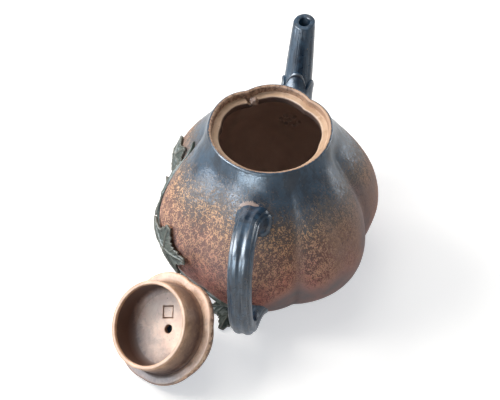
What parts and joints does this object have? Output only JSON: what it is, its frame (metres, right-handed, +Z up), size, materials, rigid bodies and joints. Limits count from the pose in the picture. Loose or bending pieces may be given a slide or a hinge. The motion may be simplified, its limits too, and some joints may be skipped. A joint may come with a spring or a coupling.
{
  "type": "yixing teapot",
  "caption": "Lobed gourd-shaped clay teapot with a stalk spout, an ear-shaped ribbed handle, a vine with leaves in relief, and a loose inlaid lid that lies upside down beside it.",
  "frame": {"origin": "centre of the flat base that the pot stands on", "axes": "+Z up, +Y the way the spout points, -Z out of the base"},
  "size_m": [0.0993, 0.1655, 0.078],
  "materials": {
    "speckled_clay": "satin",
    "blue_slip": "satin",
    "bare_clay": "matte",
    "leaf_clay": "matte"
  },
  "bodies": {
    "pot": {"body_shell": "speckled_clay", "base_disc": "speckled_clay", "lid_seat": "bare_clay", "spout": "blue_slip", "spout_collar": "blue_slip", "handle": "blue_slip", "vine": "leaf_clay", "leaf_shoulder": "leaf_clay", "leaf_flank": "leaf_clay", "leaf_side": "leaf_clay", "leaf_foot": "leaf_clay"},
    "lid": {"lid_disc": "blue_slip", "lid_flange": "bare_clay", "lid_knob": "blue_slip"}
  },
  "joints": [
    {"name": "lid_lift", "type": "slide", "parent": "pot", "child": "lid", "axis": [0, 0, 1], "range_m": [0, 0.085]}
  ]
}
